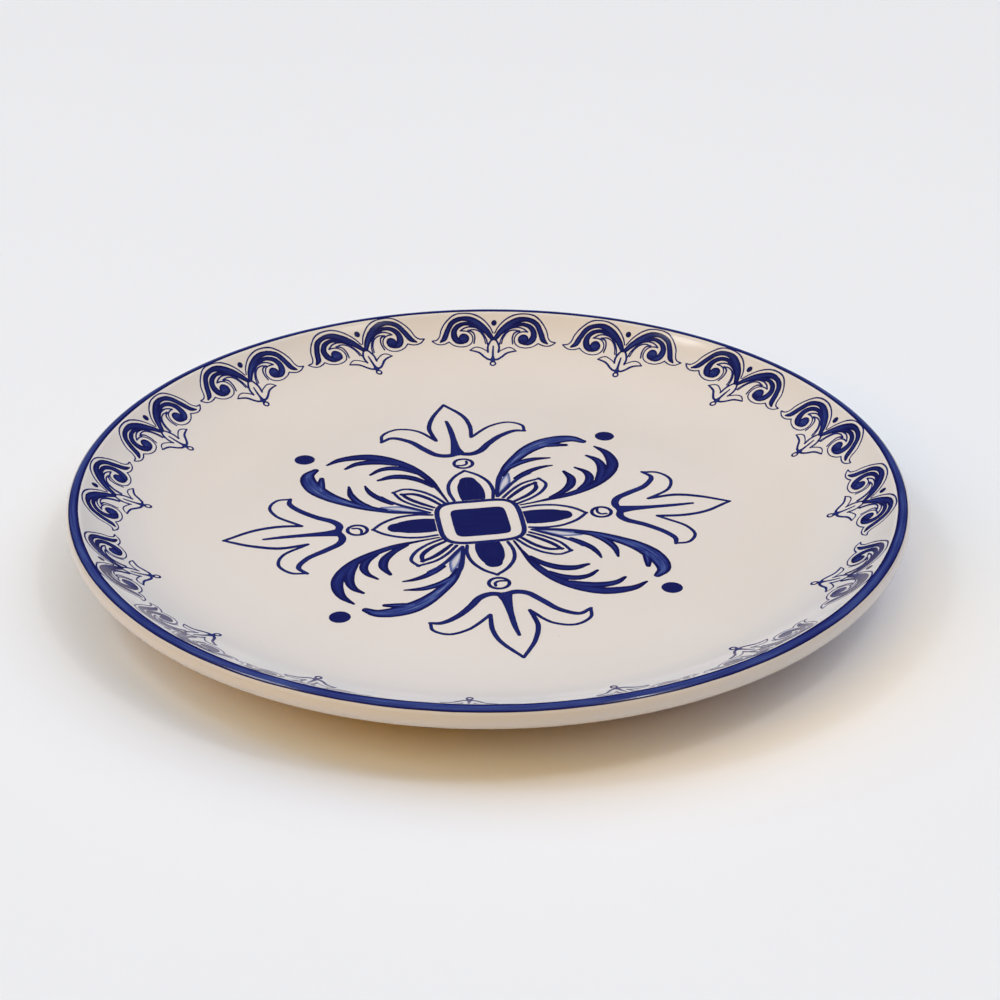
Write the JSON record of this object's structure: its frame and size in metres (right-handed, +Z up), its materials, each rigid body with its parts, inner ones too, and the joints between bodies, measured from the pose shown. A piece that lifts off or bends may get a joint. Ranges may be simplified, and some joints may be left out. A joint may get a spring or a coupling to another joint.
{
  "type": "hand painted ceramic plate",
  "caption": "Round glazed earthenware plate with a flat well, a rising rim, a foot ring, a blue painted lip band and painted floral ornament.",
  "frame": {"origin": "centre of the foot ring, on the surface the plate stands on", "axes": "+Z up, the plate's own turning axis; -Y is the near side of the plate"},
  "size_m": [0.28, 0.28, 0.025],
  "materials": {
    "biscuit_clay": "bare fired clay, matt",
    "cream_glaze": "glossy warm white glaze",
    "band_blue": "glossy brushed cobalt blue",
    "cobalt_dark": "glossy dark cobalt fill",
    "cobalt_line": "glossy cobalt line work",
    "cobalt_wash": "glossy thin cobalt wash"
  },
  "bodies": {
    "root": {"back_glaze": "cream_glaze", "base_glaze": "cream_glaze", "centre_ring": "cobalt_line", "centre_square": "cobalt_dark", "clay_body": "biscuit_clay", "corner_dot_east": "cobalt_dark", "corner_dot_north": "cobalt_dark", "corner_dot_south": "cobalt_dark", "corner_dot_west": "cobalt_dark", "front_glaze": "cream_glaze", "leaf_loop_east": "cobalt_dark", "leaf_loop_north": "cobalt_dark", "leaf_loop_south": "cobalt_dark", "leaf_loop_west": "cobalt_dark", "leaf_outline_east": "cobalt_line", "leaf_outline_north": "cobalt_line", "leaf_outline_south": "cobalt_line", "leaf_outline_west": "cobalt_line", "lily_east": "cobalt_line", "lily_north": "cobalt_line", "lily_south": "cobalt_line", "lily_west": "cobalt_line", "petal_fill_east": "cobalt_dark", "petal_fill_north": "cobalt_dark", "petal_fill_south": "cobalt_dark", "petal_fill_west": "cobalt_dark", "petal_outline_east": "cobalt_line", "petal_outline_north": "cobalt_line", "petal_outline_south": "cobalt_line", "petal_outline_west": "cobalt_line", "rim_band": "band_blue", "rim_motif_00": "cobalt_dark", "rim_motif_01": "cobalt_dark", "rim_motif_02": "cobalt_dark", "rim_motif_03": "cobalt_dark", "rim_motif_04": "cobalt_dark", "rim_motif_05": "cobalt_dark", "rim_motif_06": "cobalt_dark", "rim_motif_07": "cobalt_dark", "rim_motif_08": "cobalt_dark", "rim_motif_09": "cobalt_dark", "rim_motif_10": "cobalt_dark", "rim_motif_11": "cobalt_dark", "rim_motif_12": "cobalt_dark", "rim_motif_13": "cobalt_dark", "rim_motif_14": "cobalt_dark", "rim_motif_15": "cobalt_dark", "roundel_east": "cobalt_line", "roundel_north": "cobalt_line", "roundel_south": "cobalt_line", "roundel_west": "cobalt_line", "spray_dark_east": "cobalt_dark", "spray_dark_north": "cobalt_dark", "spray_dark_south": "cobalt_dark", "spray_dark_west": "cobalt_dark", "spray_washed_east": "cobalt_wash", "spray_washed_north": "cobalt_wash", "spray_washed_south": "cobalt_wash", "spray_washed_west": "cobalt_wash"}
  },
  "joints": []
}
